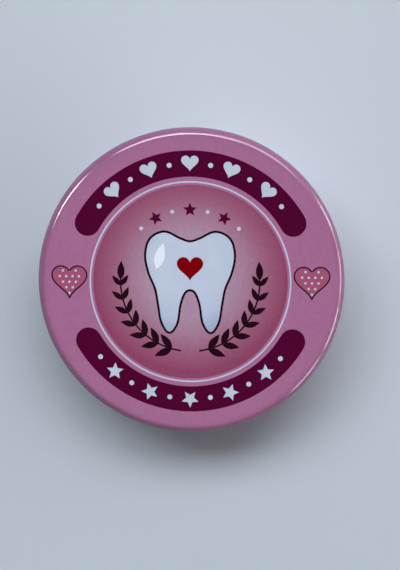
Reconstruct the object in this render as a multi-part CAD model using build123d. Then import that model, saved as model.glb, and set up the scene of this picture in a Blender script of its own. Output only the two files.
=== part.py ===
"""A round slip-lid tin for a child's milk teeth, with a fitted foam tray.

The tin is made of tinplate in three pressed pieces: a drawn lid with a curled
hem, a body rolled from strip and locked along one side seam, and a recessed
bottom plate that is double seamed to the body: its edge and the body's foot are
hooked into each other in a low rim. Inside are a soft tray of two glued layers,
with a cell for each of the twenty milk teeth, and a soft pad under the lid that
keeps the teeth in their cells.

Millimetres, +Z up. The origin is the middle of the tin's foot, and +Y is the
top of the picture on the lid.
"""

from build123d import *

import math
import os

# Overall sizes
lid_diameter = 100.0
overall_height = 26.0

# Tinplate and its folds
sheet = 0.25
edge_radius = 2.6
skirt_depth = 12.0
curl_diameter = 1.3
curl_angle = 240.0
fold_clearance = 0.03

# Fit of the lid on the body
slip_clearance = 0.2
seat_gap = 0.3

# Bottom plate and the double seam at its rim
panel_recess = 2.6
rim_height = 2.4
rim_bevel = 0.2

# Side seam of the body, folded inwards
seam_width = 4.5
seam_thickness = 0.5
seam_mark_width = 0.3
seam_mark_depth = 0.1
seam_end_gap = 0.4

# Soft lining
lid_pad_thickness = 3.0
pad_mouth_clearance = 0.7
tray_seam_clearance = 0.1
tray_gap = 0.3

# Tooth cells, in a ring just inside the tray's rim wall. The largest cell is a back
# tooth's, and shares are of its width, from the front teeth to the back ones.
tray_rim_wall = 4.9
cell_width_shares = (0.75, 0.71, 0.77, 0.87, 1.0)
cell_length_shares = (0.80, 0.78, 0.84, 0.89, 0.93)
cell_depth = 12.5
cell_wall = 2.4
cell_corner = 2.2
jaw_gap = 4.0
keepsake_diameter = 34.0

# How many straight bands make each small round, and how far cuts run past a face
edge_band_count = 4
corner_band_count = 3
cell_band_count = 3
curl_band_count = 4
hollow_band_count = 3
overrun = 1.0

# Worked out from the sizes above
lid_radius = lid_diameter / 2
hem_height = overall_height - skirt_depth
curl_radius = curl_diameter / 2
body_radius = lid_radius - curl_diameter - slip_clearance
body_bore = body_radius - sheet
mouth_radius = body_radius - curl_diameter
lid_underside = overall_height - sheet
corner_radius = lid_radius - edge_radius
corner_height = overall_height - edge_radius
floor_height = panel_recess + sheet
layer = sheet + fold_clearance
plug_radius = body_bore - fold_clearance
plate_hook_radius = body_radius + fold_clearance
body_hook_radius = plate_hook_radius + layer
rim_wall_radius = body_hook_radius + layer
rim_radius = rim_wall_radius + sheet
pad_bottom = lid_underside - lid_pad_thickness
tray_top = pad_bottom - tray_gap
cell_floor = tray_top - cell_depth
tray_radius = body_bore - seam_thickness - tray_seam_clearance
ring_radius = tray_radius - tray_rim_wall
ring_walls = 4 * len(cell_width_shares) * cell_wall + 2 * jaw_gap
ring_cells_share = 4 * sum(cell_width_shares) + math.pi * max(cell_length_shares)
largest_cell = (2 * math.pi * ring_radius - ring_walls) / ring_cells_share
arch_radius = ring_radius - largest_cell * max(cell_length_shares) / 2


def mouth_curl_height():
    """Height of the middle of the mouth's curl, a seat gap inside the lid's corner."""
    reach = (edge_radius - sheet) * math.cos(math.pi / 4 / corner_band_count)
    across = max(body_radius - curl_radius - corner_radius, 0)
    room = reach - curl_radius - seat_gap
    under_corner = corner_height + math.sqrt(room**2 - across**2)
    under_top = lid_underside - seat_gap - curl_radius
    return min(under_corner, under_top)


def round_points(middle, radius, start, end, bands):
    """Points along a round, in degrees from +X, that divide it into straight bands."""
    turns = [start + (end - start) * step / bands for step in range(bands + 1)]
    return [
        (
            middle[0] + radius * math.cos(math.radians(turn)),
            middle[1] + radius * math.sin(math.radians(turn)),
        )
        for turn in turns
    ]


def turned(*points):
    """Solid of revolution about Z of a closed half section given as (radius, height)."""
    outline = Polyline(*points, points[0])
    return revolve(Plane.XZ * make_face(outline), axis=Axis.Z)


def open_curl(middle, turn):
    """Section of a rolled sheet edge: out along its outer round, back inside it.

    The roll starts at its outer side, where the sheet's wall runs into it, and
    goes round by the turn in degrees, positive for a mouth and negative for a hem.
    """
    outer = round_points(middle, curl_radius, 0, turn, curl_band_count)
    hollow = round_points(middle, curl_radius - sheet, turn, 0, hollow_band_count)
    return outer + hollow


def lid_shell():
    """Drawn lid: flat top, rounded edge and straight skirt with an inward curl."""
    corner = (corner_radius, corner_height)
    curl_middle = (lid_radius - curl_radius, hem_height + curl_radius)
    return turned(
        (0, overall_height),
        *round_points(corner, edge_radius, 90, 0, edge_band_count),
        *open_curl(curl_middle, -curl_angle),
        *round_points(corner, edge_radius - sheet, 0, 90, corner_band_count),
        (0, lid_underside),
    )


def body_wall():
    """Rolled body: inward curl at the mouth, upturned hook at the foot, side seam."""
    curl_middle = (body_radius - curl_radius, mouth_curl_height())
    hook_top = rim_height - layer
    wall = turned(
        (body_radius, layer + sheet),
        *open_curl(curl_middle, curl_angle),
        (body_bore, layer),
        (body_hook_radius + sheet, layer),
        (body_hook_radius + sheet, hook_top),
        (body_hook_radius, hook_top),
        (body_hook_radius, layer + sheet),
    )
    return wall + side_seam() - seam_mark()


def side_seam():
    """Folded strip up the inside of the body, where its two ends lock."""
    bottom = floor_height + seam_end_gap
    top = mouth_curl_height() - curl_radius - seam_end_gap
    middle = (bottom + top) / 2
    reach = body_bore + sheet / 2
    strip = Box(seam_width, reach, top - bottom, align=(Align.CENTER, Align.MIN, Align.CENTER))
    ring = Cylinder(reach, top - bottom) - Cylinder(body_bore - seam_thickness, top - bottom)
    return Pos(Z=middle) * (strip & ring)


def seam_mark():
    """Fine line down the outside of the body, where the folded strip ends."""
    bottom = floor_height + seam_end_gap
    top = mouth_curl_height() - curl_radius - seam_end_gap
    depth = seam_mark_depth + overrun
    cutter = Box(seam_mark_width, depth, top - bottom, align=(Align.CENTER, Align.MIN, Align.CENTER))
    return Pos(seam_width / 4, body_radius - seam_mark_depth, (bottom + top) / 2) * cutter


def bottom_plate():
    """Recessed bottom, its rim turned up round the body's hook and down inside it."""
    hook_bottom = 2 * layer
    return turned(
        (0, floor_height),
        (plug_radius, floor_height),
        (plug_radius, sheet),
        (rim_wall_radius, sheet),
        (rim_wall_radius, rim_height - sheet),
        (plate_hook_radius + sheet, rim_height - sheet),
        (plate_hook_radius + sheet, hook_bottom),
        (plate_hook_radius, hook_bottom),
        (plate_hook_radius, rim_height),
        (rim_radius, rim_height),
        (rim_radius, rim_bevel),
        (rim_radius - rim_bevel, 0),
        (plug_radius - sheet, 0),
        (plug_radius - sheet, panel_recess),
        (0, panel_recess),
    )


def tray_base():
    """Lower layer of the tray, a plain disc that is the floor of every cell."""
    thickness = cell_floor - floor_height
    return Pos(Z=floor_height + thickness / 2) * Cylinder(tray_radius, thickness)


def tooth_cells():
    """Width, length and place of each tooth cell, as (width, length, degrees).

    Each quarter of the ring is half a jaw, from the two front teeth outwards. The
    jaws meet at the left and the right, with a wider wall between them.
    """
    cells = []
    for front, way in ((90, 1), (90, -1), (270, 1), (270, -1)):
        along = 0
        for width_share, length_share in zip(cell_width_shares, cell_length_shares):
            width = largest_cell * width_share
            middle = along + (width + cell_wall) / 2
            turn = front + way * math.degrees(middle / arch_radius)
            cells.append((width, largest_cell * length_share, turn))
            along += width + cell_wall
    return cells


def cell_outline(width, length):
    """Face of one cell with rounded corners, its width along Y and its length along X."""
    points = []
    for corner, (along, across) in enumerate(((1, 1), (-1, 1), (-1, -1), (1, -1))):
        middle = (along * (length / 2 - cell_corner), across * (width / 2 - cell_corner))
        start, end = 90 * corner, 90 * (corner + 1)
        points += round_points(middle, cell_corner, start, end, cell_band_count)
    return make_face(Polyline(*points, points[0]))


def tray_cells():
    """Upper layer of the tray, cut through with the ring of cells and a round well."""
    layer = Pos(Z=cell_floor) * extrude(Circle(tray_radius), cell_depth)
    openings = Sketch() + Circle(keepsake_diameter / 2)
    for width, length, turn in tooth_cells():
        openings += Rot(Z=turn) * Pos(X=arch_radius) * cell_outline(width, length)
    cutter = Pos(Z=cell_floor - overrun) * extrude(openings, cell_depth + 2 * overrun)
    return layer - cutter


def lid_pad():
    """Soft disc glued under the lid, just clear of the tray and the body's mouth."""
    radius = mouth_radius - pad_mouth_clearance
    return Pos(Z=pad_bottom + lid_pad_thickness / 2) * Cylinder(radius, lid_pad_thickness)


def write(pieces):
    """Writes each piece to its own file, named after its node."""
    os.makedirs("parts", exist_ok=True)
    for name, piece in pieces.items():
        export_step(piece, f"parts/{name}.step")


write(
    {
        "lid_shell": lid_shell(),
        "lid_pad": lid_pad(),
        "body_wall": body_wall(),
        "bottom_plate": bottom_plate(),
        "tray_base": tray_base(),
        "tray_cells": tray_cells(),
    }
)
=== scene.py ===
"""A round slip-lid tin for milk teeth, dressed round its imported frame.

The tin has a printed and lacquered lid, a rolled body, a seamed bottom and a soft
lining. Pieces are drawn in millimetres, +Z up, with the origin in the middle of the
tin's foot and +Y towards the top of the picture on the lid, and are written in metres.
"""

import logging
import math
from dataclasses import dataclass
from enum import Enum
from functools import cache, cached_property
from typing import Callable, Iterable, Sequence

import bmesh
import bpy
from mathutils import Matrix, Vector, noise
from mathutils.geometry import delaunay_2d_cdt

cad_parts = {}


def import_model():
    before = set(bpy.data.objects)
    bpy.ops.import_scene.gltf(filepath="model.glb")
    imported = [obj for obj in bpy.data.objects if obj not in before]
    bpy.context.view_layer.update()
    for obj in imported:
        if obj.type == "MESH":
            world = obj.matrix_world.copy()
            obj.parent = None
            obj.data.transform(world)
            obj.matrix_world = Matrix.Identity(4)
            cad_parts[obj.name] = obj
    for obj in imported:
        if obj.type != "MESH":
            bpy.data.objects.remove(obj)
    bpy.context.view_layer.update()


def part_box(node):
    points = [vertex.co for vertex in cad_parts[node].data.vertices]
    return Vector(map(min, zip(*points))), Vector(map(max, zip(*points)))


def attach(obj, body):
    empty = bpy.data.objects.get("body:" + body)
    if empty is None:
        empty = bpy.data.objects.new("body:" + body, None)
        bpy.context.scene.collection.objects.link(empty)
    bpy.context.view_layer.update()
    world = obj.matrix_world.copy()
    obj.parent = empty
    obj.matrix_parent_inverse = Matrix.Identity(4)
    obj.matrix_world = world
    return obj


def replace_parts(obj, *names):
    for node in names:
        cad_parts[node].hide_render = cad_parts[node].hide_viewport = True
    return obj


# Metres in a millimetre
MM = 0.001

# How close places are before they count as one: in metres in a finished mesh, and in
# millimetres while a flat face is drawn
WELD = 1e-7
MERGE = 1e-5

# Degrees of a fold that shows as sharp, and of each step round an arc
SHARP_ANGLE = 40.0
ROUND_STEP = 6.0

# How many finer patterns a random one holds, and its middle value
PLAIN, MIXED, FINE = 1.0, 2.0, 3.0
NOISE_MIDDLE = 0.5

# How far the waves of a soft face are lifted before those that still lie below are cut off
WAVE_LIFT = 0.5

Point = tuple[float, float]
Place = tuple[float, float, float]
Colour = tuple[float, float, float, float]
Piece = bpy.types.Object

log = logging.getLogger("tin")


class Finish(Enum):
    """The surfaces that the pieces are made of."""

    PINK = "pink_lacquer"
    BURGUNDY = "burgundy_ink"
    DISC = "disc_ink"
    PALE = "pale_ink"
    ENAMEL = "tooth_ink"
    GLEAM = "gleam_ink"
    ROSE = "rose_ink"
    RED = "red_ink"
    DARK = "dark_ink"
    TINPLATE = "bare_tinplate"
    BOTTOM = "brushed_tinplate"
    TRAY_FOAM = "tray_foam"
    LID_FOAM = "lid_foam"


def srgb(*levels: float) -> Colour:
    """Turns a colour of 0 to 255 as seen on a screen into the linear one of a shader."""
    shares = [level / 255 for level in levels]
    return (*(s / 12.92 if s <= 0.04045 else ((s + 0.055) / 1.055) ** 2.4 for s in shares), 1.0)


class Wire:
    """An output socket of a graph, on which sums and products add Math nodes."""

    def __init__(self, graph: "Graph", socket: bpy.types.NodeSocket | None) -> None:
        """Wraps one output socket of a graph."""
        self.graph = graph
        self.socket = socket

    def maths(self, operation: str, first: "Wire | float", second: "Wire | float") -> "Wire":
        """Adds one Math node, by Blender's name of its operation."""
        return self.graph.node("ShaderNodeMath", {"operation": operation}, {0: first, 1: second})

    def __add__(self, other: "Wire | float") -> "Wire":
        """Sum of a wire and another one or a value."""
        return self.maths("ADD", self, other)

    def __mul__(self, other: "Wire | float") -> "Wire":
        """Product of a wire and another one or a value."""
        return self.maths("MULTIPLY", self, other)

    def __sub__(self, other: "Wire | float") -> "Wire":
        """Difference of a wire and another one or a value."""
        return self.maths("SUBTRACT", self, other)

    def __rsub__(self, other: float) -> "Wire":
        """Difference of a value and a wire."""
        return self.maths("SUBTRACT", other, self)

    __radd__ = __add__
    __rmul__ = __mul__

    def below(self, level: float) -> "Wire":
        """One where the wire is below a level, and zero elsewhere."""
        return self.maths("LESS_THAN", self, level)


class Graph:
    """The node graph of one material or of the world behind the object."""

    def __init__(self, owner: bpy.types.Material | bpy.types.World) -> None:
        """Empties the graph of its owner.

        Args:
            owner: Material or world that the graph belongs to.
        """
        owner.use_nodes = True
        self.owner = owner
        self.tree = owner.node_tree
        self.tree.nodes.clear()

    def node(
        self,
        kind: str,
        settings: dict[str, object],
        inputs: dict[int | str, object],
        output: int | str = 0,
    ) -> Wire:
        """Adds any node, with its settings first and then its values and links.

        Args:
            kind: Blender's type of the node.
            settings: Attributes of the node; "stops" holds a ramp's (place, colour) pairs.
            inputs: Wires or values, by the socket's name or number.
            output: Name or number of the output that is used.

        Returns:
            The wire of that output, or of nothing where the node has none.
        """
        node = self.tree.nodes.new(kind)
        for key, value in settings.items():
            if key != "stops":
                setattr(node, key, value)
                continue
            stops = node.color_ramp.elements
            for number, (place, colour) in enumerate(value):
                stop = stops[number] if number < 2 else stops.new(place)
                stop.position = place
                stop.color = colour
        for key, value in inputs.items():
            if isinstance(value, Wire):
                self.tree.links.new(value.socket, node.inputs[key])
            else:
                node.inputs[key].default_value = value
        return Wire(self, node.outputs[output] if node.outputs else None)

    @cached_property
    def place(self) -> Wire:
        """Where a point lies on its own piece, so that a pattern moves with the piece."""
        return self.node("ShaderNodeTexCoord", {}, {}, "Object")

    def vector(self, operation: str, first: Wire, second: Place, output: str = "Vector") -> Wire:
        """Adds one Vector Math node, by Blender's name of its operation."""
        settings = {"operation": operation}
        return self.node("ShaderNodeVectorMath", settings, {0: first, 1: second}, output)

    def upward(self, vector: Wire) -> Wire:
        """The third coordinate of a place or a direction."""
        return self.node("ShaderNodeSeparateXYZ", {}, {0: vector}, "Z")

    def reach(self, middle: Point) -> Wire:
        """How far a point lies from a middle, in metres, as seen from above."""
        flat = self.vector("MULTIPLY", self.place, (1.0, 1.0, 0.0))
        return self.vector("DISTANCE", flat, (*middle, 0.0), "Value")

    def ease(self, value: Wire, first: float, last: float) -> Wire:
        """Rises smoothly from 0 to 1 while a wire goes from one level to another."""
        settings = {"interpolation_type": "SMOOTHSTEP"}
        return self.node("ShaderNodeMapRange", settings, {0: value, 1: first, 2: last})

    def mix(
        self, share: Wire | float, low: Wire | Colour, high: Wire | Colour, blend: str = "MIX"
    ) -> Wire:
        """Colour of two others, at a share of the second, through the node's colour sockets."""
        settings = {"data_type": "RGBA", "blend_type": blend}
        return self.node("ShaderNodeMix", settings, {0: share, 6: low, 7: high}, 2)

    def noise(self, size: float, detail: float = MIXED, at: Wire | None = None) -> Wire:
        """Smooth random pattern from 0 to 1, with features of a size in metres."""
        inputs = {"Vector": at or self.place, "Scale": 1 / size, "Detail": detail}
        return self.node("ShaderNodeTexNoise", {}, inputs)

    def cells(self, size: float, output: str) -> Wire:
        """Pattern of random cells of a size in metres."""
        return self.node("ShaderNodeTexVoronoi", {}, {"Vector": self.place, "Scale": 1 / size}, output)

    def bump(self, height: Wire, distance: float) -> Wire:
        """Normal of a surface that a pattern raises by a distance in metres."""
        return self.node("ShaderNodeBump", {}, {"Strength": 1.0, "Distance": distance, "Height": height})

    def surface(self, inputs: dict[str, object]) -> bpy.types.Material:
        """Ends the graph in a shader with these wires or values and returns the material."""
        self.node("ShaderNodeOutputMaterial", {}, {0: self.node("ShaderNodeBsdfPrincipled", {}, inputs)})
        return self.owner


@dataclass(frozen=True)
class Lacquer:
    """Ink under clear lacquer, printed on tinplate with a white base coat."""

    colour: Colour
    heart_colour: Colour | None = None
    fade_colour: Colour | None = None
    fade_middle: Point = (0.0, 0.0)
    fade_radius: float = 0.0314
    fade_shares: tuple[float, float] = (0.45, 0.80)
    mottle: float = 0.24
    mottle_size: float = 0.0011
    cloud: float = 0.07
    cloud_tint: float = 0.05
    cloud_size: float = 0.016
    speck_spacing: float = 0.0042
    speck_radius_share: float = 0.035
    speck_share: float = 0.22
    speck_depth: float = 0.55
    roughness: float = 0.5
    roughness_swing: float = 0.1
    coat_on_top: float = 0.34
    coat_across: tuple[float, float] = (0.0450, 0.0475)
    coat_roughness: float = 0.075
    coat_index: float = 1.6
    ripple_size: float = 0.0026
    ripple_height: float = 0.0000007
    # Painted shade on the rounded edge: its depth, and the distances from the axis and the heights, in
    # metres, over which it sets in
    rim_shade_depth: float = 0.38
    rim_shade_across: tuple[float, float] = (0.0468, 0.0500)
    rim_shade_up: tuple[float, float] = (0.0200, 0.0235)

    def ink(self, graph: Graph) -> Wire | Colour:
        """The ink's own colour: flat, or fading outwards from a middle.

        Args:
            graph: Graph of the material.

        Returns:
            The colour, or the wire that carries it.
        """
        if self.heart_colour is None:
            return self.colour
        first, last = self.fade_shares
        stops = (
            (0.0, self.heart_colour),
            (1.0, self.colour),
            (first, self.heart_colour),
            (last, self.fade_colour),
        )
        reach = graph.reach(self.fade_middle) * (1 / self.fade_radius)
        return graph.node("ShaderNodeValToRGB", {"stops": stops}, {0: reach})

    def edge(self, graph: Graph) -> Wire:
        """Painted shade: how much darker the colour is made on the lid's rounded edge, from the crown's
        edge outwards and above the lower skirt.
        """
        outwards = graph.ease(graph.reach((0.0, 0.0)), *self.rim_shade_across)
        return outwards * graph.ease(graph.upward(graph.place), *self.rim_shade_up) * self.rim_shade_depth

    def coat(self, graph: Graph) -> Wire:
        """How much clear lacquer there is: a thinner layer on the flat top."""
        outwards = graph.ease(graph.reach((0.0, 0.0)), *self.coat_across)
        return self.coat_on_top + outwards * (1.0 - self.coat_on_top)

    def inputs(self, graph: Graph) -> dict[str, object]:
        """Draws the finish's patterns in a graph.

        Args:
            graph: Graph of the material.

        Returns:
            What goes into the shader, by the names of its sockets.
        """
        uneven = graph.noise(self.mottle_size, FINE) - NOISE_MIDDLE
        cloudy = graph.noise(self.cloud_size) - NOISE_MIDDLE
        apart = graph.cells(self.speck_spacing, "Distance")
        chance = graph.cells(self.speck_spacing, "Color")
        drawn = graph.node("ShaderNodeSeparateColor", {}, {0: chance})
        speck = apart.below(self.speck_radius_share) * drawn.below(self.speck_share)
        level = 1.0 + uneven * self.mottle + cloudy * self.cloud
        # The painted shade of the rounded edge darkens the colour here, along with the specks
        shade = level * (1.0 - speck * self.speck_depth) * (1.0 - self.edge(graph))
        channels = {0: shade, 1: shade + cloudy * self.cloud_tint, 2: shade}
        grey = graph.node("ShaderNodeCombineColor", {}, channels)
        return {
            "Base Color": graph.mix(1.0, self.ink(graph), grey, "MULTIPLY"),
            "Roughness": self.roughness + uneven * self.roughness_swing,
            "Specular IOR Level": 0.0,
            "Coat Weight": self.coat(graph),
            "Coat Roughness": self.coat_roughness,
            "Coat IOR": self.coat_index,
            "Normal": graph.bump(graph.noise(self.ripple_size, PLAIN), self.ripple_height),
        }


@dataclass(frozen=True)
class Tinplate:
    """Bare tinplate with the fine lines of its rolling, and a faint spangle."""

    colour: Colour
    dull_colour: Colour
    roughness: float = 0.26
    line_size: float = 0.0002
    line_length: float = 60.0
    line_height: float = 0.0000006
    line_share: float = 0.3
    line_swing: float = 0.22
    spangle_size: float = 0.004
    spangle_swing: float = 0.1

    def inputs(self, graph: Graph) -> dict[str, object]:
        """Draws the finish's patterns in a graph.

        Args:
            graph: Graph of the material.

        Returns:
            What goes into the shader, by the names of its sockets.
        """
        rolled = graph.vector("MULTIPLY", graph.place, (1 / self.line_length, 1.0, 1.0))
        lines = graph.noise(self.line_size, MIXED, rolled)
        spangle = graph.noise(self.spangle_size, FINE)
        shine = spangle * (1.0 - self.line_share) + lines * self.line_share
        swing = (lines - NOISE_MIDDLE) * self.line_swing
        return {
            "Base Color": graph.mix(shine, self.dull_colour, self.colour),
            "Metallic": 1.0,
            "Roughness": self.roughness + swing + (spangle - NOISE_MIDDLE) * self.spangle_swing,
            "Normal": graph.bump(lines, self.line_height),
        }


@dataclass(frozen=True)
class Foam:
    """Closed-cell foam sheet: matt, with fine bubbles in its skin."""

    colour: Colour
    shade_colour: Colour
    bubble_size: float = 0.00055
    bubble_height: float = 0.00009
    bubble_share: float = 0.45
    grain_size: float = 0.006
    grain_share: float = 0.35
    skin_share: float = 0.5
    roughness: float = 0.82
    roughness_rise: float = 0.12
    specular: float = 0.3
    sheen: float = 0.15
    sheen_roughness: float = 0.5

    def inputs(self, graph: Graph) -> dict[str, object]:
        """Draws the finish's patterns in a graph.

        Args:
            graph: Graph of the material.

        Returns:
            What goes into the shader, by the names of its sockets.
        """
        bubbles = graph.cells(self.bubble_size, "Distance")
        skin = graph.noise(self.bubble_size / 2)
        depth = bubbles * self.bubble_share + graph.noise(self.grain_size, FINE) * self.grain_share
        return {
            "Base Color": graph.mix(depth, self.colour, self.shade_colour),
            "Roughness": self.roughness + skin * self.roughness_rise,
            "Specular IOR Level": self.specular,
            "Sheen Weight": self.sheen,
            "Sheen Roughness": self.sheen_roughness,
            "Normal": graph.bump(bubbles + skin * self.skin_share, self.bubble_height),
        }


FINISHES = {
    Finish.PINK: Lacquer(srgb(160, 104, 142)),
    Finish.BURGUNDY: Lacquer(srgb(76, 6, 46), mottle=0.16),
    Finish.DISC: Lacquer(
        srgb(137, 67, 98),
        heart_colour=srgb(167, 135, 159),
        fade_colour=srgb(151, 93, 119),
        fade_middle=(0.0, 0.002),
    ),
    Finish.PALE: Lacquer(srgb(184, 193, 211), mottle=0.05),
    Finish.ENAMEL: Lacquer(
        srgb(156, 170, 196),
        heart_colour=srgb(185, 196, 215),
        fade_colour=srgb(177, 189, 210),
        fade_middle=(-0.0015, 0.006),
        fade_radius=0.022,
        mottle=0.04,
    ),
    Finish.GLEAM: Lacquer(srgb(222, 229, 239), mottle=0.03),
    Finish.ROSE: Lacquer(srgb(157, 82, 111), mottle=0.08),
    Finish.RED: Lacquer(srgb(120, 3, 11), mottle=0.10),
    Finish.DARK: Lacquer(srgb(34, 10, 22), mottle=0.10),
    Finish.TINPLATE: Tinplate(srgb(206, 205, 203), srgb(178, 177, 176)),
    Finish.BOTTOM: Tinplate(srgb(196, 196, 197), srgb(160, 160, 162), roughness=0.34),
    Finish.TRAY_FOAM: Foam(srgb(226, 226, 230), srgb(198, 198, 206)),
    Finish.LID_FOAM: Foam(srgb(232, 232, 235), srgb(206, 206, 212)),
}


@cache
def material(finish: Finish) -> bpy.types.Material:
    """The material of a finish, made once."""
    graph = Graph(bpy.data.materials.new(finish.value))
    return graph.surface(FINISHES[finish].inputs(graph))


def placed(name: str, data: bpy.types.ID) -> Piece:
    """Puts a mesh, a lamp or a camera into the scene as an object.

    Args:
        name: Name of the object.
        data: What the object shows.

    Returns:
        The object.
    """
    piece = bpy.data.objects.new(name, data)
    bpy.context.scene.collection.objects.link(piece)
    return piece


def around(radius: float, angle: float, middle: Point = (0.0, 0.0)) -> Point:
    """The point at a distance from a middle and an angle in degrees from +X."""
    turn = math.radians(angle)
    return middle[0] + radius * math.cos(turn), middle[1] + radius * math.sin(turn)


def arc(middle: Point, radius: float, start: float, end: float, steps: int = 0) -> list[Point]:
    """Points along an arc, its two ends among them, by default one in every few degrees."""
    steps = steps or max(2, round(abs(end - start) / ROUND_STEP))
    return [around(radius, start + (end - start) * step / steps, middle) for step in range(steps + 1)]


def full_circle(count: int) -> list[float]:
    """Angles, in degrees, that divide a full turn into equal steps."""
    return [360.0 * step / count for step in range(count)]


@dataclass(frozen=True)
class Corner:
    """A corner of a half section, in millimetres.

    Args:
        across: Distance from the axis.
        up: Height.
        finish: Finish of the run that leads on from here.
        round: Radius of the round that takes the corner's place, or 0 for none.
    """

    across: float
    up: float
    finish: Finish
    round: float = 0.0


def run(finish: Finish, places: Iterable[Sequence[float]]) -> list[Corner]:
    """Corners of one finish, from their distances, heights and any rounds."""
    return [Corner(across, up, finish, *rounds) for across, up, *rounds in places]


def rounded(corners: Sequence[Corner]) -> list[Corner]:
    """Half section with a tangent arc in place of each corner that has a round.

    Args:
        corners: Corners in order round the closed section.

    Returns:
        Corners with no rounds left, more of them where a round was.
    """
    done: list[Corner] = []
    for number, corner in enumerate(corners):
        if not corner.round:
            done.append(corner)
            continue
        here = Vector((corner.across, corner.up))
        last, following = corners[number - 1], corners[(number + 1) % len(corners)]
        back = (Vector((last.across, last.up)) - here).normalized()
        onward = (Vector((following.across, following.up)) - here).normalized()
        half = back.angle(onward) / 2
        middle = here + (back + onward).normalized() * (corner.round / math.sin(half))
        first = here + back * (corner.round / math.tan(half)) - middle
        final = here + onward * (corner.round / math.tan(half)) - middle
        start = math.degrees(math.atan2(first.y, first.x))
        swing = math.degrees(first.angle_signed(final))
        done += run(corner.finish, arc(tuple(middle), corner.round, start, start - swing))
    return done


class Outline:
    """A closed flat outline that can say whether it holds a point."""

    def __init__(self, points: Sequence[Point]) -> None:
        """Keeps the outline's points, in order round it."""
        self.points = [tuple(point) for point in points]

    @cached_property
    def box(self) -> tuple[float, float, float, float]:
        """Lowest and highest reach along each axis."""
        across, up = zip(*self.points)
        return min(across), max(across), min(up), max(up)

    def holds(self, point: Point) -> bool:
        """Whether a point lies inside the outline.

        Args:
            point: Any point.

        Returns:
            True where it does.
        """
        low_x, high_x, low_y, high_y = self.box
        x, y = point
        if not (low_x < x < high_x and low_y < y < high_y):
            return False
        inside = False
        last_x, last_y = self.points[-1]
        for next_x, next_y in self.points:
            if (next_y > y) != (last_y > y):
                crossing = (last_x - next_x) * (y - next_y) / (last_y - next_y) + next_x
                inside ^= x < crossing
            last_x, last_y = next_x, next_y
        return inside

    def moved(self, middle: Point, turn: float = 0.0, size: float = 1.0) -> "Outline":
        """The outline scaled, then turned by degrees, then moved from the origin."""
        c, s = around(size, turn)
        return Outline([(middle[0] + x * c - y * s, middle[1] + x * s + y * c) for x, y in self.points])

    def grown(self, by: float) -> "Outline":
        """The outline with every point pushed outwards by a distance.

        Args:
            by: The distance.

        Returns:
            The larger outline.
        """
        count = len(self.points)
        pushed = []
        for number, (x, y) in enumerate(self.points):
            following = Vector(self.points[(number + 1) % count])
            along = (following - Vector(self.points[number - 1])).normalized()
            pushed.append((x + along.y * by, y - along.x * by))
        return Outline(pushed)


@dataclass(frozen=True)
class Patch:
    """A flat area inside an outline, with its finish, or None where it is open."""

    outline: Outline
    finish: Finish | None


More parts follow.
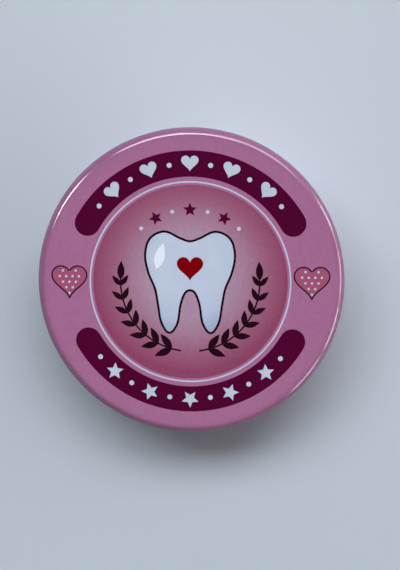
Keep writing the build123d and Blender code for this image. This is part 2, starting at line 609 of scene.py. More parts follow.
class Draft:
    """A mesh while it is drawn, in millimetres, with a finish for each face."""

    def __init__(self) -> None:
        """Starts with nothing drawn."""
        self.places: list[Place] = []
        self.faces: list[tuple[int, ...]] = []
        self.finishes: list[Finish] = []

    def row(self, places: Iterable[Place]) -> list[int]:
        """Adds a row of places and returns their numbers.

        Args:
            places: Places of the row, in order.

        Returns:
            Their numbers in the mesh.
        """
        start = len(self.places)
        self.places.extend(places)
        return list(range(start, len(self.places)))

    def face(self, corners: Sequence[int], finish: Finish) -> None:
        """Adds one face between places that are already there."""
        self.faces.append(tuple(corners))
        self.finishes.append(finish)

    def band(self, first: Sequence[int], second: Sequence[int], finish: Finish) -> None:
        """Joins two closed rows of places, either of which may be a single place.

        Args:
            first: Numbers of the places of one row.
            second: Numbers of the places of the other row.
            finish: Finish of the faces between them.
        """
        count = max(len(first), len(second))
        for here in range(count):
            there = (here + 1) % count
            if len(first) == 1:
                self.face((first[0], second[here], second[there]), finish)
            elif len(second) == 1:
                self.face((first[here], second[0], first[there]), finish)
            else:
                self.face((first[here], second[here], second[there], first[there]), finish)

    def turn(
        self,
        section: Sequence[Corner],
        angles: Sequence[float],
        shape: Callable[[float, Corner], float] | None = None,
        closed: bool = False,
    ) -> None:
        """Turns a half section about the axis.

        Args:
            section: Corners of the half section, in order.
            angles: Angles of the rows, in degrees.
            shape: Says how far from the axis a corner lies at an angle, if not all alike.
            closed: Whether the last corner joins the first one again.
        """
        rows = []
        for corner in section:
            if corner.across == 0:
                rows.append(self.row([(0.0, 0.0, corner.up)]))
                continue
            reaches = [shape(angle, corner) if shape else corner.across for angle in angles]
            points = [around(reach, angle) for reach, angle in zip(reaches, angles)]
            rows.append(self.row((x, y, corner.up) for x, y in points))
        for number in range(len(rows) - (not closed)):
            self.band(rows[number], rows[(number + 1) % len(rows)], section[number].finish)

    def plate(self, height: float, patches: Sequence[Patch], fill: Sequence[Point]) -> None:
        """Fills a flat area with triangles that are split along outlines.

        Args:
            height: Height of the plate.
            patches: Areas of the plate, each over the ones before it.
            fill: More points between the outlines, which keep the triangles even.
        """
        points: list[Vector] = []
        edges: list[tuple[int, int]] = []
        for patch in patches:
            start, count = len(points), len(patch.outline.points)
            points += [Vector(point) for point in patch.outline.points]
            edges += [(start + step, start + (step + 1) % count) for step in range(count)]
        points += [Vector(point) for point in fill]
        found, _, faces = delaunay_2d_cdt(points, edges, [], 0, MERGE, False)[:3]
        numbers = self.row((point.x, point.y, height) for point in found)
        for face in faces:
            middle = sum((found[corner] for corner in face), Vector((0.0, 0.0))) / len(face)
            shown = (patch.finish for patch in reversed(patches) if patch.outline.holds(middle))
            finish = next(shown, None)
            if finish is not None:
                self.face([numbers[corner] for corner in face], finish)

    def ruffle(self, level: float, reach: float, wave: float, size: float, slice_at: float) -> None:
        """Moves a soft face up or down a little, unevenly.

        Args:
            level: Height of the face.
            reach: How far from that height a place still belongs to the face.
            wave: How far the face moves, upwards or with a minus sign downwards.
            size: Length of the waves.
            slice_at: Height at which the random pattern is cut, so that faces differ.
        """
        for number, (x, y, z) in enumerate(self.places):
            if abs(z - level) < reach:
                rise = noise.noise(Vector((x, y, slice_at)) / size) + WAVE_LIFT
                self.places[number] = (x, y, z + wave * max(rise, 0.0))

    def make(self, name: str) -> Piece:
        """Writes the drawn mesh as a piece, welded and with its faces outwards.

        Args:
            name: Name of the piece.

        Returns:
            The piece, in the frame's axes.
        """
        mesh = bpy.data.meshes.new(name)
        mesh.from_pydata([tuple(MM * x for x in place) for place in self.places], [], self.faces)
        used = list(dict.fromkeys(self.finishes))
        for finish in used:
            mesh.materials.append(material(finish))
        mesh.polygons.foreach_set("material_index", [used.index(finish) for finish in self.finishes])
        mesh.polygons.foreach_set("use_smooth", [True] * len(self.faces))
        drawn = bmesh.new()
        drawn.from_mesh(mesh)
        bmesh.ops.remove_doubles(drawn, verts=drawn.verts, dist=WELD)
        loose = [vertex for vertex in drawn.verts if not vertex.link_faces]
        bmesh.ops.delete(drawn, geom=loose, context="VERTS")
        bmesh.ops.recalc_face_normals(drawn, faces=drawn.faces)
        drawn.to_mesh(mesh)
        drawn.free()
        mesh.set_sharp_from_angle(angle=math.radians(SHARP_ANGLE))
        return placed(name, mesh)


def foam_disc(finish: Finish, radius: float, face: Point, back: Point, rings: int, steps: int) -> Draft:
    """Draws a soft disc with a rounded rim.

    Args:
        finish: Its foam.
        radius: Its radius.
        face: Height of its first face, which is divided into rings, and the round there.
        back: Height of its other face, and the round there.
        rings: Number of rings.
        steps: Number of steps round the disc.

    Returns:
        The drawn disc.
    """
    flat = [(radius * step / rings, face[0]) for step in range(rings)]
    section = [*flat, (radius, *face), (radius, *back), (0.0, back[0])]
    draft = Draft()
    draft.turn(rounded(run(finish, section)), full_circle(steps))
    return draft


def ring(radius: float, angles: Iterable[float], middle: Point = (0.0, 0.0)) -> Outline:
    """Round outline with a point at each of the angles."""
    return Outline([around(radius, angle, middle) for angle in angles])


def circle(middle: Point, radius: float, least: int = 3, fineness: float = 5.0) -> Outline:
    """Round outline, with more points in each eighth of it the larger it is."""
    eighth = max(least, round(fineness * math.sqrt(radius)))
    return ring(radius, full_circle(8 * eighth), middle)


def even_rows(reach: float, spacing: float, rise_share: float = 0.87) -> list[Point]:
    """Points in even rows, each row half a step aside of the last, within a radius.

    Args:
        reach: The radius.
        spacing: Distance between points of a row.
        rise_share: Distance between rows, as a share of the spacing.

    Returns:
        The points.
    """
    count = int(reach / spacing) + 1
    steps = range(-count, count + 1)
    rows = [((x + (y % 2) / 2) * spacing, y * spacing * rise_share) for y in steps for x in steps]
    return [point for point in rows if math.hypot(*point) < reach]


def ribbon(
    inner: float,
    outer: float,
    middle: float,
    half: float,
    least_steps: int = 12,
    fineness: float = 1.2,
    cap_steps: int = 14,
) -> Outline:
    """Band bent round the axis, with round ends.

    Args:
        inner: Radius of its inner edge.
        outer: Radius of its outer edge.
        middle: Angle of its middle, in degrees.
        half: Angle from its middle to the middle of each end's round.
        least_steps: Least number of steps along each edge.
        fineness: Number of steps along each edge for a degree of half.
        cap_steps: Number of steps round each end.

    Returns:
        The outline.
    """
    spine, cap = (inner + outer) / 2, (outer - inner) / 2
    steps = max(least_steps, round(half * fineness))
    edge = []
    for radius, start, end, turn in (
        (outer, middle - half, middle + half, 0),
        (inner, middle + half, middle - half, 180),
    ):
        edge += arc((0.0, 0.0), radius, start, end, steps)
        edge += arc(around(spine, end), cap, end + turn, end + turn + 180, cap_steps)[1:-1]
    return Outline(edge)


def heart(steps: int = 56) -> Outline:
    """Heart one unit wide, point down, by the usual curve.

    Args:
        steps: Number of points.

    Returns:
        The outline, about the origin.
    """
    points = []
    for angle in full_circle(steps):
        t = math.radians(angle)
        x = 16 * math.sin(t) ** 3
        y = 13 * math.cos(t) - 5 * math.cos(2 * t) - 2 * math.cos(3 * t) - math.cos(4 * t)
        points.append((x / 32, (y + 2.5) / 32))
    return Outline(points[::-1])


def star(points: int = 5, inner_share: float = 0.46) -> Outline:
    """Star with a reach of one unit, one point up."""
    angles = full_circle(2 * points)
    return Outline([around((1.0, inner_share)[step % 2], 90 + a) for step, a in enumerate(angles)])


def leaf(steps: int = 14, width_share: float = 0.19, fullness: float = 0.85) -> Outline:
    """Leaf one unit long from the origin along +X, pointed at both ends.

    Args:
        steps: Number of steps along each side.
        width_share: Half of the width, as a share of the length.
        fullness: Below 1, the widest place lies nearer to the origin.

    Returns:
        The outline.
    """
    along = [step / steps for step in range(steps + 1)]
    upper = [(x, width_share * math.sin(math.pi * x**fullness)) for x in along]
    return Outline([(x, -y) for x, y in upper[1:-1]] + upper[::-1])


def smooth_loop(points: Sequence[Point], steps: int = 6) -> Outline:
    """Closed curve through points, as an even spline.

    Args:
        points: Points that the curve goes through, in order.
        steps: Steps between two points.

    Returns:
        The curve.
    """
    count = len(points)
    curve = []
    for number in range(count):
        a, b, c, d = (Vector(points[(number + k) % count]) for k in (-1, 0, 1, 2))
        for step in range(steps):
            t = step / steps
            bend = (2 * a - 5 * b + 4 * c - d) * t * t + (3 * b - a - 3 * c + d) * t**3
            curve.append(tuple((2 * b + (c - a) * t + bend) / 2))
    return Outline(curve)


def tooth() -> Outline:
    """Milk tooth one unit high about the origin: a broad crown over two short roots.

    Returns:
        The outline.
    """
    crown_shares = [(0.10, 0.425), (0.25, 0.49), (0.385, 0.425), (0.43, 0.27), (0.40, 0.10)]
    root_shares = [(0.335, -0.06), (0.305, -0.22), (0.275, -0.39), (0.205, -0.49)]
    fork_shares = [(0.135, -0.40), (0.105, -0.22), (0.06, -0.10)]
    right = crown_shares + root_shares + fork_shares
    left = [(-x, y) for x, y in right]
    return smooth_loop([*left, (0.0, -0.065), *right[::-1], (0.0, 0.395)])


@dataclass(frozen=True)
class LidPrint:
    """The printed design, in millimetres about the middle of the crown.

    A shaded disc with a tooth between two sprigs lies inside two ribbons, which carry
    hearts and stars between dots. A spotted heart fills each gap between the ribbons.
    Angles of sprigs are from the top of the picture.
    """

    disc_radius: float = 31.6
    line_inner: float = 32.3
    line_outer: float = 32.8
    ribbon_inner: float = 34.2
    ribbon_outer: float = 42.6
    ribbon_half: float = 60.0
    charm_step: float = 20.0
    charm_heart: float = 5.6
    charm_star: float = 2.9
    charm_dot: float = 0.8
    side_heart: float = 11.0
    side_radius: float = 39.4
    side_outline: float = 0.45
    side_dot: float = 0.4
    side_dot_spacing: float = 2.1
    side_spotted_share: float = 0.84
    tooth_height: float = 33.0
    tooth_outline: float = 0.75
    tooth_heart: float = 8.6
    tooth_heart_up: float = 4.4
    gleam_place: Point = (-10.9, 4.4)
    gleam_turn: float = 75.0
    gleam_length: float = 8.8
    sprig_radius: float = 22.6
    sprig_width: float = 0.55
    sprig_first: float = 172.0
    sprig_last: float = 88.0
    leaf_count: int = 7
    leaf_length: float = 6.2
    leaf_lean: float = 38.0
    leaf_start_share: float = 0.6
    leaf_taper_share: float = 0.05
    top_radius: float = 23.6
    top_step: float = 14.0
    top_star: float = 2.3
    top_dot: float = 0.64

    def patches(self) -> list[Patch]:
        """Every printed shape, the lowest first.

        Returns:
            Flat areas, each over the ones before it.
        """
        return [
            *self.ribbons(),
            *self.side_hearts(),
            *self.disc(),
            *self.sprigs(),
            *self.top_stars(),
            *self.big_tooth(),
        ]

    def ribbons(self) -> list[Patch]:
        """The two ribbons, with a heart or a star at each step and dots between.

        Returns:
            Bands first, each with what lies on it.
        """
        made = []
        spine = (self.ribbon_inner + self.ribbon_outer) / 2
        for middle, charm, size in ((90.0, heart(), self.charm_heart), (270.0, star(), self.charm_star)):
            band = ribbon(self.ribbon_inner, self.ribbon_outer, middle, self.ribbon_half)
            made.append(Patch(band, Finish.BURGUNDY))
            for step in range(-2, 3):
                angle = middle + step * self.charm_step
                made.append(Patch(charm.moved(around(spine, angle), angle - 90, size), Finish.PALE))
            for step in range(-3, 3):
                spot = around(spine, middle + (step + 0.5) * self.charm_step)
                made.append(Patch(circle(spot, self.charm_dot), Finish.PALE))
        return made

    def side_hearts(self) -> list[Patch]:
        """A spotted heart in each of the two gaps between the ribbons.

        Returns:
            Outline, heart and spots of each.
        """
        made = []
        spots = even_rows(self.side_heart / 2, self.side_dot_spacing)
        for angle in (0.0, 180.0):
            place = around(self.side_radius, angle)
            shape = heart().moved(place, 0.0, self.side_heart)
            made += [Patch(shape.grown(self.side_outline), Finish.DARK), Patch(shape, Finish.ROSE)]
            spotted = heart().moved(place, 0.0, self.side_heart * self.side_spotted_share)
            for spot in ((place[0] + across, place[1] + up) for across, up in spots):
                if spotted.holds(spot):
                    made.append(Patch(circle(spot, self.side_dot), Finish.PALE))
        return made

    def disc(self) -> list[Patch]:
        """The shaded disc, with a fine pale line round it."""
        inks = {self.line_outer: Finish.PALE, self.line_inner: Finish.PINK, self.disc_radius: Finish.DISC}
        return [Patch(circle((0.0, 0.0), radius), ink) for radius, ink in inks.items()]

    def sprigs(self) -> list[Patch]:
        """Two leafy sprigs that rise round the tooth, one on each side.

        Returns:
            Stem and leaves of each.
        """
        made = []
        inner, outer = self.sprig_radius - self.sprig_width / 2, self.sprig_radius + self.sprig_width / 2
        swing = self.sprig_first - self.sprig_last
        for side in (1, -1):
            stem = ribbon(inner, outer, 90 + side * (self.sprig_first + self.sprig_last) / 2, swing / 2)
            made.append(Patch(stem, Finish.DARK))
            leaves = []
            for step in range(self.leaf_count):
                along = self.sprig_first - swing * (step + self.leaf_start_share) / self.leaf_count
                for lean in (self.leaf_lean, -self.leaf_lean):
                    leaves.append((along, lean, 1 - self.leaf_taper_share * step))
            for along, lean, share in [*leaves, (self.sprig_last, 0.0, 1.0)]:
                angle = 90 + side * along
                place, turn = around(self.sprig_radius, angle), angle - side * 90 + lean
                made.append(Patch(leaf().moved(place, turn, self.leaf_length * share), Finish.DARK))
        return made

    def top_stars(self) -> list[Patch]:
        """An arch of small stars over the tooth, with a dot between them and at each end.

        Returns:
            Stars and dots.
        """
        made = []
        for step in range(-3, 4):
            angle = 90 + step * self.top_step
            place = around(self.top_radius, angle)
            if step % 2:
                made.append(Patch(circle(place, self.top_dot), Finish.PALE))
            else:
                made.append(Patch(star().moved(place, angle - 90, self.top_star), Finish.BURGUNDY))
        return made

    def big_tooth(self) -> list[Patch]:
        """The tooth with its dark outline, a gleam and a small heart.

        Returns:
            The four shapes, the lowest first.
        """
        shape = tooth().moved((0.0, 0.0), 0.0, self.tooth_height)
        gleam = leaf().moved(self.gleam_place, self.gleam_turn, self.gleam_length)
        charm = heart().moved((0.0, self.tooth_heart_up), 0.0, self.tooth_heart)
        return [
            Patch(shape.grown(self.tooth_outline), Finish.DARK),
            Patch(shape, Finish.ENAMEL),
            Patch(gleam, Finish.GLEAM),
            Patch(charm, Finish.RED),
        ]


@dataclass(frozen=True)
class Span:
    """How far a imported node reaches, in millimetres."""

    radius: float
    bottom: float
    top: float

    @staticmethod
    def of(node: str) -> "Span":
        """Reads the reach of a node from the frame."""
        low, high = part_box(node)
        return Span(high.x / MM, low.z / MM, high.z / MM)


@dataclass(frozen=True)
class Tin:
    """Sizes that the pieces share, in millimetres. The outer ones come from the frame."""

    lid: Span
    pad: Span
    floor: Span
    cells: Span
    sheet: float = 0.25
    skirt: float = 12.0
    edge_radius: float = 2.6
    curl_radius: float = 0.65
    curl_turn: float = 240.0
    slip: float = 0.2
    fold_gap: float = 0.03
    panel_recess: float = 2.6
    rim_height: float = 2.4
    row_count: int = 240

    @staticmethod
    def from_frame() -> "Tin":
        """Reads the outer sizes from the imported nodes."""
        return Tin(*(Span.of(node) for node in ("lid_shell", "lid_pad", "tray_base", "tray_cells")))

    @property
    def body_radius(self) -> float:
        """Outside of the body's wall, inside the lid's hem."""
        return self.lid.radius - 2 * self.curl_radius - self.slip

    @property
    def bore(self) -> float:
        """Inside of the body's wall."""
        return self.body_radius - self.sheet

    @property
    def layer(self) -> float:
        """One sheet of the bottom seam and the gap beside it."""
        return self.sheet + self.fold_gap


@dataclass(frozen=True)
class Lid:
    """Printed lid of one drawn sheet, and the soft pad glued under it."""

    tin: Tin
    design: LidPrint
    edge_steps: int = 20
    guard: float = 0.15
    fill_spacing: float = 2.4
    pad_round: float = 0.7
    pad_top_round: float = 0.2
    pad_wave: float = 0.05
    pad_wave_size: float = 7.0
    pad_rings: int = 24
    pad_steps: int = 144

    def section(self) -> list[Corner]:
        """Half section of the sheet, from the crown's edge out, down and back inside.

        Returns:
            Corners of the half section.
        """
        tin = self.tin
        corner = (tin.lid.radius - tin.edge_radius, tin.lid.top - tin.edge_radius)
        curl = (tin.lid.radius - tin.curl_radius, tin.lid.top - tin.skirt + tin.curl_radius)
        outside = arc(corner, tin.edge_radius, 90, 0, self.edge_steps)
        outside += arc(curl, tin.curl_radius, 0, -tin.curl_turn)
        inside = arc(curl, tin.curl_radius - tin.sheet, -tin.curl_turn, 0)
        inside += arc(corner, tin.edge_radius - tin.sheet, 0, 90)
        inside.append((0.0, tin.lid.top - tin.sheet))
        return run(Finish.PINK, outside) + run(Finish.TINPLATE, inside)

    def shell(self) -> Piece:
        """The lid's sheet, its crown split along the printed shapes.

        Returns:
            The piece.
        """
        draft = Draft()
        angles = full_circle(self.tin.row_count)
        draft.turn(self.section(), angles)
        flat = self.tin.lid.radius - self.tin.edge_radius
        ground = [Patch(ring(radius, angles), Finish.PINK) for radius in (flat, flat - self.guard)]
        fill = even_rows(flat - self.fill_spacing, self.fill_spacing)
        draft.plate(self.tin.lid.top, ground + self.design.patches(), fill)
        shell = draft.make("lid_printed_shell")
        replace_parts(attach(shell, "lid"), "lid_shell")
        return shell

    def pad(self) -> Piece:
        """The soft disc, its lower edge rounded and its lower face a little uneven.

        Returns:
            The piece.
        """
        span = self.tin.pad
        face, back = (span.bottom, self.pad_round), (span.top, self.pad_top_round)
        draft = foam_disc(Finish.LID_FOAM, span.radius, face, back, self.pad_rings, self.pad_steps)
        draft.ruffle(span.bottom, self.pad_wave, self.pad_wave, self.pad_wave_size, 0.0)
        pad = draft.make("lid_foam_pad")
        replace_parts(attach(pad, "lid"), "lid_pad")
        return pad

    def build(self) -> list[Piece]:
        """Both pieces of the lid."""
        return [self.shell(), self.pad()]


@dataclass(frozen=True)
class Body:
    """Rolled body with a locked side seam, and the bottom plate seamed to its foot."""

    tin: Tin
    mouth_middle: float = 24.641
    seam_angle: float = 90.0
    seam_width: float = 4.5
    seam_thickness: float = 0.5
    seam_soft: float = 0.25
    seam_gap: float = 0.4
    mark_width: float = 0.3
    mark_depth: float = 0.1
    mark_end: float = 0.02
    fine_step: float = 0.1
    fine_reach: float = 3.6
    hook_round: float = 0.2
    rim_round: float = 0.4
    fold_round: float = 0.35
    foot_round: float = 0.3

    @property
    def seam_ends(self) -> Point:
        """Heights of the two ends of the side seam."""
        low = self.tin.panel_recess + self.tin.sheet + self.seam_gap
        return low, self.mouth_middle - self.tin.curl_radius - self.seam_gap

    def angles(self) -> list[float]:
        """Angles of the wall's rows, close together beside the seam.

        Returns:
            Angles in degrees, in order.
        """
        coarse = [a for a in full_circle(self.tin.row_count) if abs(a - self.seam_angle) > self.fine_reach]
        steps = round(2 * self.fine_reach / self.fine_step)
        fine = [self.seam_angle - self.fine_reach + self.fine_step * step for step in range(steps + 1)]
        return sorted(coarse + fine)

    def wall_shape(self, angle: float, corner: Corner) -> float:
        """How far from the axis a corner of the wall lies, with the seam pressed in.

        Args:
            angle: Angle of the row, in degrees.
            corner: Corner of the wall's half section.

        Returns:
            The distance, in millimetres.
        """
        low, high = self.seam_ends
        if not low <= corner.up <= high:
            return corner.across
        along = math.radians(self.seam_angle - angle) * self.tin.body_radius
        if corner.across > self.tin.bore + self.tin.sheet / 2:
            aside = abs(along - self.seam_width / 4) - self.mark_width / 2
            depth = min(max(-aside / (self.mark_width / 4), 0.0), 1.0)
            return corner.across - self.mark_depth * depth
        inside = (self.seam_width / 2 - abs(along)) / self.seam_soft
        rise = min(max(inside, 0.0), 1.0)
        return corner.across - self.seam_thickness * rise * rise * (3 - 2 * rise)

    def wall(self) -> Piece:
        """The body's wall, with its curled mouth and the hook at its foot.

        Returns:
            The piece.
        """
        tin = self.tin
        low, high = self.seam_ends
        curl = (tin.body_radius - tin.curl_radius, self.mouth_middle)
        hook = tin.body_radius + tin.fold_gap + tin.layer
        turn_up, hook_top = tin.layer + tin.sheet, tin.rim_height - tin.layer
        outside_heights = (turn_up, low - self.mark_end, low, high, high + self.mark_end)
        inside_heights = (high + self.seam_soft, high, low, low - self.seam_soft, tin.layer)
        outside = [(tin.body_radius, up) for up in outside_heights]
        outside += arc(curl, tin.curl_radius, 0, tin.curl_turn)
        inside = arc(curl, tin.curl_radius - tin.sheet, tin.curl_turn, 0)
        inside += [(tin.bore, up) for up in inside_heights]
        inside.append((hook + tin.sheet, tin.layer))
        foot = [(hook + tin.sheet, hook_top), (hook, hook_top), (hook, turn_up)]
        section = run(Finish.PINK, outside) + run(Finish.TINPLATE, inside) + run(Finish.PINK, foot)
        draft = Draft()
        draft.turn(section, self.angles(), self.wall_shape, closed=True)
        wall = draft.make("body_rolled_wall")
        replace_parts(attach(wall, "tin_body"), "body_wall")
        return wall

    def plate(self) -> Piece:
        """The recessed bottom, its rim rolled up round the body's hook.

        Returns:
            The piece.
        """
        tin = self.tin
        floor = tin.panel_recess + tin.sheet
        plug = tin.bore - tin.fold_gap
        hook = tin.body_radius + tin.fold_gap
        rim_wall = hook + 2 * tin.layer
        rim, rim_under = rim_wall + tin.sheet, tin.rim_height - tin.sheet
        inside = [(0.0, floor), (plug, floor), (plug, tin.sheet), (rim_wall, tin.sheet)]
        folded = [
            (rim_wall, rim_under),
            (hook + tin.sheet, rim_under),
            (hook + tin.sheet, 2 * tin.layer),
            (hook, 2 * tin.layer),
            (hook, tin.rim_height, self.hook_round),
        ]
        outside = [
            (rim, tin.rim_height, self.rim_round),
            (rim, 0.0, self.fold_round),
            (plug - tin.sheet, 0.0, self.foot_round),
            (plug - tin.sheet, tin.panel_recess, self.fold_round),
            (0.0, tin.panel_recess),
        ]
        draft = Draft()
        section = rounded(run(Finish.BOTTOM, inside + folded + outside))
        draft.turn(section, full_circle(tin.row_count))
        plate = draft.make("bottom_seamed_plate")
        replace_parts(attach(plate, "tin_body"), "bottom_plate")
        return plate

    def build(self) -> list[Piece]:
        """Both pieces of the body."""
        return [self.wall(), self.plate()]


@dataclass(frozen=True)
class Cell:
    """One cell of the tray, in millimetres, with its width round the ring."""

    width: float
    length: float
    corner: float
    ring_radius: float
    angle: float
    corner_steps: int = 8

    def outline(self, grow: float) -> Outline:
        """Outline of the cell, grown on every side by a distance.

        Args:
            grow: The distance.

        Returns:
            The outline, where the cell lies in the tray.
        """
        corner = self.corner + grow
        half_length, half_width = self.length / 2 + grow - corner, self.width / 2 + grow - corner
        points: list[Point] = []
        for quarter, (x, y) in enumerate(((1, 1), (-1, 1), (-1, -1), (1, -1))):
            middle = (x * half_length, y * half_width)
            points += arc(middle, corner, 90 * quarter, 90 * (quarter + 1), self.corner_steps)
        return Outline(points).moved(around(self.ring_radius, self.angle), self.angle)


@dataclass(frozen=True)
class Tray:
    """Soft tray of two layers: a plain floor, and a layer cut through with cells."""

    tin: Tin
    rim_wall: float = 4.9
    width_shares: tuple[float, ...] = (0.75, 0.71, 0.77, 0.87, 1.0)
    length_shares: tuple[float, ...] = (0.80, 0.78, 0.84, 0.89, 0.93)
    cell_wall: float = 2.4
    cell_corner: float = 2.2
    jaw_gap: float = 4.0
    well_radius: float = 17.0
    well_steps: int = 96
    lip: float = 0.55
    lip_steps: int = 5
    waist: float = 0.12
    waist_steps: int = 6
    guard: float = 0.2
    fill_spacing: float = 1.7
    wave: float = 0.06
    wave_size: float = 9.0
    wave_slice: float = 3.0
    rim_round: float = 0.6
    rim_steps: int = 6
    floor_top_round: float = 0.1
    floor_rings: int = 30
    steps: int = 180

    @property
    def largest(self) -> float:
        """Width of the largest cell, which fills the ring's length with the others.

        Returns:
            The width, in millimetres.
        """
        ring_length = 2 * math.pi * (self.tin.floor.radius - self.rim_wall)
        walls = 4 * len(self.width_shares) * self.cell_wall + 2 * self.jaw_gap
        return (ring_length - walls) / (4 * sum(self.width_shares) + math.pi * max(self.length_shares))

    @property
    def ring_radius(self) -> float:
        """Radius of the ring through the middles of the cells."""
        return self.tin.floor.radius - self.rim_wall - self.largest * max(self.length_shares) / 2

    def cells(self) -> list[Cell]:
        """The twenty cells, a quarter of the ring at a time, from the front teeth back.

        Returns:
            The cells.
        """
        found = []
        largest, ring_radius = self.largest, self.ring_radius
        for front, way in ((90, 1), (90, -1), (270, 1), (270, -1)):
            along = 0.0
            for width_share, length_share in zip(self.width_shares, self.length_shares):
                width, length = largest * width_share, largest * length_share
                angle = front + way * math.degrees((along + (width + self.cell_wall) / 2) / ring_radius)
                found.append(Cell(width, length, self.cell_corner, ring_radius, angle))
                along += width + self.cell_wall
        return found

    def well(self, grow: float) -> Outline:
        """Outline of the round well, grown by a distance."""
        return ring(self.well_radius + grow, full_circle(self.well_steps))

    def opening(self, draft: Draft, outline_of: Callable[[float], Outline]) -> None:
        """Draws the wall of one opening, from its soft lip down to the floor.

        Args:
            draft: Mesh that the wall is drawn in.
            outline_of: Gives the opening's outline, grown by a distance.
        """
        top = self.tin.cells.top - self.lip
        depth = top - self.tin.floor.top
        levels = arc((self.lip, top), self.lip, 90, 180, self.lip_steps)
        for step in range(1, self.waist_steps + 1):
            share = step / self.waist_steps
            levels.append((self.waist * math.sin(math.pi * share), top - depth * share))
        rows = [draft.row((x, y, height) for x, y in outline_of(grow).points) for grow, height in levels]
        for first, second in zip(rows, rows[1:]):
            draft.band(first, second, Finish.TRAY_FOAM)

    def cut_layer(self) -> Piece:
        """The upper layer, cut through with the cells and the well.

        Returns:
            The piece.
        """
        foam, radius, angles = Finish.TRAY_FOAM, self.tin.floor.radius, full_circle(self.steps)
        top, bottom, flat = self.tin.cells.top, self.tin.floor.top, radius - self.rim_round
        openings = [self.well, *(cell.outline for cell in self.cells())]
        draft = Draft()
        for outline_of in openings:
            self.opening(draft, outline_of)
        rim = arc((flat, top - self.rim_round), self.rim_round, 90, 0, self.rim_steps)
        draft.turn(run(foam, [*rim, (radius, bottom)]), angles)
        for height, grow, edge in ((top, self.lip, flat), (bottom, 0.0, radius)):
            holes = [outline_of(grow) for outline_of in openings]
            guards = [outline_of(grow + self.guard) for outline_of in openings]
            outer = [ring(edge, angles), ring(edge - self.guard, angles)]
            patches = [Patch(outline, foam) for outline in outer + guards]
            patches += [Patch(outline, None) for outline in holes]
            fill = [
                point
                for point in even_rows(edge, self.fill_spacing)
                if outer[1].holds(point) and not any(guard.holds(point) for guard in guards)
            ]
            draft.plate(height, patches, fill)
        draft.ruffle(top, MERGE, -self.wave, self.wave_size, self.wave_slice)
        layer = draft.make("tray_cell_layer")
        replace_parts(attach(layer, "tin_body"), "tray_cells")
        return layer

    def floor_layer(self) -> Piece:
        """The plain lower layer, which is the floor of every cell.

        Returns:
            The piece.
        """
        span = self.tin.floor
        face, back = (span.top, self.floor_top_round), (span.bottom, self.rim_round)
        draft = foam_disc(Finish.TRAY_FOAM, span.radius, face, back, self.floor_rings, self.steps)
        layer = draft.make("tray_floor_layer")
        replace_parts(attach(layer, "tin_body"), "tray_base")
        return layer

    def build(self) -> list[Piece]:
        """Both layers of the tray."""
        return [self.cut_layer(), self.floor_layer()]


class Task(Enum):
    """What a lamp is there for."""

    LIGHT = "light"
    GLOSS = "gloss"


def direction(bearing: float, elevation: float) -> Vector:
    """Unit vector at degrees round from +X and degrees above the table."""
    flat, up = around(1.0, elevation)
    return Vector((*around(flat, bearing), up))


def axes(place: Vector, right: Vector, up: Vector, back: Vector) -> Matrix:
    """Matrix of an object at a place, from the directions of its own three axes."""
    return Matrix.Translation(place) @ Matrix((right, up, back)).transposed().to_4x4()


@dataclass(frozen=True)
class Lamp:
    """One soft strip of light, placed by the directions of its two ends from the tin.

    Args:
        name: Name of the lamp.
        task: Whether the strip lights the scene, or shows as a reflection in gloss.
        first: Direction of one end, as degrees round from +X and degrees above the table.
        last: Direction of the other end.
        breadth: Width of the strip, in degrees as the tin sees it.
        level: Brightness of the strip, where 1 is that of white paint in the light.
        colour: Colour of the strip.
        distance: Distance from the tin, in metres.
    """

    name: str
    task: Task
    first: Point
    last: Point
    breadth: float
    level: float
    colour: Colour = (1.02, 0.97, 1.09, 1.0)
    distance: float = 12.0

    def build(self, middle: Vector) -> None:
        """Makes the lamp, turned towards a place.

        Args:
            middle: The place.
        """
        first, last = direction(*self.first), direction(*self.last)
        away, right = (first + last).normalized(), (last - first).normalized()
        data = bpy.data.lights.new(self.name, "AREA")
        data.shape = "RECTANGLE"
        data.size = 2 * self.distance * math.tan(first.angle(last) / 2)
        data.size_y = 2 * self.distance * math.tan(math.radians(self.breadth) / 2)
        data.energy = self.level * math.pi * data.size * data.size_y
        data.color = self.colour[:3]
        lamp = placed(self.name, data)
        lamp.visible_diffuse = self.task is Task.LIGHT
        lamp.visible_glossy = self.task is Task.GLOSS
        lamp.matrix_world = axes(middle + away * self.distance, right, away.cross(right), away)


COOL_LIGHT: Colour = (0.97, 1.0, 1.04, 1.0)
WARM_LIGHT: Colour = (1.05, 0.98, 0.93, 1.0)
LAMPS = (
    Lamp("day_light", Task.LIGHT, (147.5, 38.0), (49.5, 38.5), 22.0, 7.6, COOL_LIGHT),
    Lamp("side_light", Task.LIGHT, (-42.0, 11.0), (41.0, 8.0), 29.0, 3.5, WARM_LIGHT),
    Lamp("left_pane", Task.GLOSS, (135.5, 66.8), (90.0, 62.0), 20.0, 10.8),
    Lamp("right_pane", Task.GLOSS, (89.5, 62.0), (49.0, 45.5), 21.0, 5.6),
    Lamp("side_window", Task.GLOSS, (166.0, 50.8), (149.8, 59.0), 10.0, 27.5),
    Lamp("low_window", Task.GLOSS, (29.5, 28.0), (14.0, 20.5), 17.0, 9.6),
    Lamp("right_window", Task.GLOSS, (8.0, 22.5), (-15.0, 35.5), 16.0, 6.3),
    Lamp("long_window", Task.GLOSS, (-18.0, 32.5), (-35.0, 30.5), 17.0, 8.8),
    Lamp("near_window", Task.GLOSS, (-39.0, 29.5), (-55.5, 29.5), 13.0, 9.8),
)


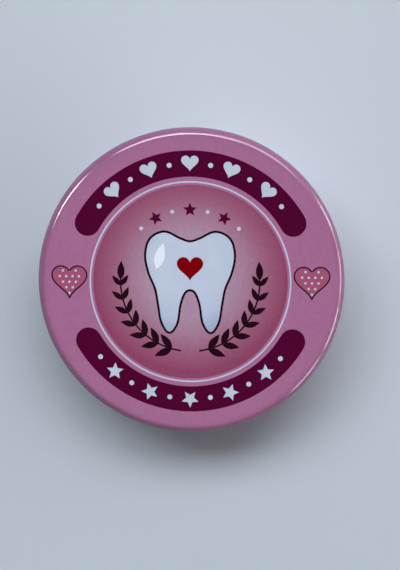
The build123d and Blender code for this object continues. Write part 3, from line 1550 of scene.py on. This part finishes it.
@dataclass(frozen=True)
class Studio:
    """Table, background, lamps and camera of the photograph."""

    tin: Tin
    lean_across: float = 3.5
    lean_up: float = 6.8
    distance: float = 0.400
    aim: Point = (0.003254, -0.000775)
    frame_height: float = 0.18469
    sensor: float = 36.0
    near: float = 0.01
    far: float = 20.0
    table_half: float = 3.0
    table_paint: Colour = srgb(180, 190, 200)
    table_roughness: float = 0.65
    table_specular: float = 0.2
    # Painted pool of light on the table: its colour, middle and radius, in metres
    lit_pool_paint: Colour = srgb(187, 197, 206)
    lit_pool_middle: Point = (0.012, 0.080)
    lit_pool_radius: float = 0.150
    backdrop: Colour = srgb(197, 207, 220)
    backdrop_rise: tuple[float, float] = (0.28, 0.10)
    room_low: Colour = (0.136, 0.108, 0.093, 1.0)
    room_middle: Colour = (0.060, 0.055, 0.052, 1.0)
    room_high: Colour = (0.02, 0.02, 0.02, 1.0)
    bright_wall: Colour = (0.40, 0.41, 0.43, 1.0)
    wall_bearing: float = 61.0
    wall_spread: tuple[float, float] = (0.35, 0.90)

    def camera(self) -> None:
        """The camera, almost straight above and leaning towards the top of the picture."""
        data = bpy.data.cameras.new("photo_camera")
        data.sensor_width = self.sensor
        data.sensor_fit = "AUTO"
        data.lens = self.sensor * self.distance / self.frame_height
        data.clip_start, data.clip_end = self.near, self.far
        lean = (math.tan(math.radians(self.lean_across)), math.tan(math.radians(self.lean_up)))
        back = Vector((*lean, 1.0)).normalized()
        right = Vector((0.0, 1.0, 0.0)).cross(back).normalized()
        target = Vector((*self.aim, self.tin.lid.top * MM))
        camera = placed("photo_camera", data)
        camera.matrix_world = axes(target + back * self.distance, right, back.cross(right), back)
        bpy.context.scene.camera = camera

    def table(self) -> None:
        """The pale table top, with a painted pool of light that fades out round a middle towards the top
        of the picture.
        """
        half = self.table_half
        mesh = bpy.data.meshes.new("table_top")
        corners = [(-half, -half, 0.0), (half, -half, 0.0), (half, half, 0.0), (-half, half, 0.0)]
        mesh.from_pydata(corners, [], [(0, 1, 2, 3)])
        graph = Graph(bpy.data.materials.new("table_paint"))
        # Painted light: the table turns paler towards the middle of the pool
        pale = graph.ease(graph.reach(self.lit_pool_middle), self.lit_pool_radius, 0.0)
        inputs = {
            "Base Color": graph.mix(pale, self.table_paint, self.lit_pool_paint),
            "Roughness": self.table_roughness,
            "Specular IOR Level": self.table_specular,
        }
        mesh.materials.append(graph.surface(inputs))
        table = placed("table_top", mesh)

    def background(self) -> None:
        """A plain room: an even backdrop, a dim ceiling and one bright wall.

        The camera sees the backdrop all round. Gloss and glass see it near the horizon.
        """
        graph = Graph(bpy.data.worlds.new("plain_room"))
        way = graph.node("ShaderNodeTexCoord", {}, {}, "Generated")
        rise = graph.upward(way)
        stops = ((0.0, self.room_low), (1.0, self.room_high), (0.5, self.room_middle))
        room = graph.node("ShaderNodeValToRGB", {"stops": stops}, {0: rise})
        wall_way = tuple(direction(self.wall_bearing, 0.0))
        wall = graph.ease(graph.vector("DOT_PRODUCT", way, wall_way, "Value"), *self.wall_spread)
        camera, gloss, glass = (
            graph.node("ShaderNodeLightPath", {}, {}, f"Is {ray} Ray")
            for ray in ("Camera", "Glossy", "Transmission")
        )
        seen = camera + (gloss + glass) * graph.ease(rise, *self.backdrop_rise)
        colour = graph.mix(seen, graph.mix(wall, room, self.bright_wall), self.backdrop)
        light = graph.node("ShaderNodeBackground", {}, {"Color": colour})
        graph.node("ShaderNodeOutputWorld", {}, {"Surface": light})
        bpy.context.scene.world = graph.owner

    def build(self) -> None:
        """Sets up the table, the background, the lamps and the camera."""
        self.table()
        self.background()
        for lamp in LAMPS:
            lamp.build(Vector((0.0, 0.0, self.tin.lid.top * MM)))
        self.camera()
        bpy.context.scene.view_settings.view_transform = "Standard"


def main() -> None:
    """Builds the pieces and the studio, and reports each piece."""
    logging.basicConfig(level=logging.INFO, format="%(name)s: %(message)s")
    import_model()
    tin = Tin.from_frame()
    for assembly in (Lid(tin, LidPrint()), Body(tin), Tray(tin)):
        for piece in assembly.build():
            log.info("%s has %d faces", piece.name, len(piece.data.polygons))
    Studio(tin).build()


if __name__ == "__main__":
    main()
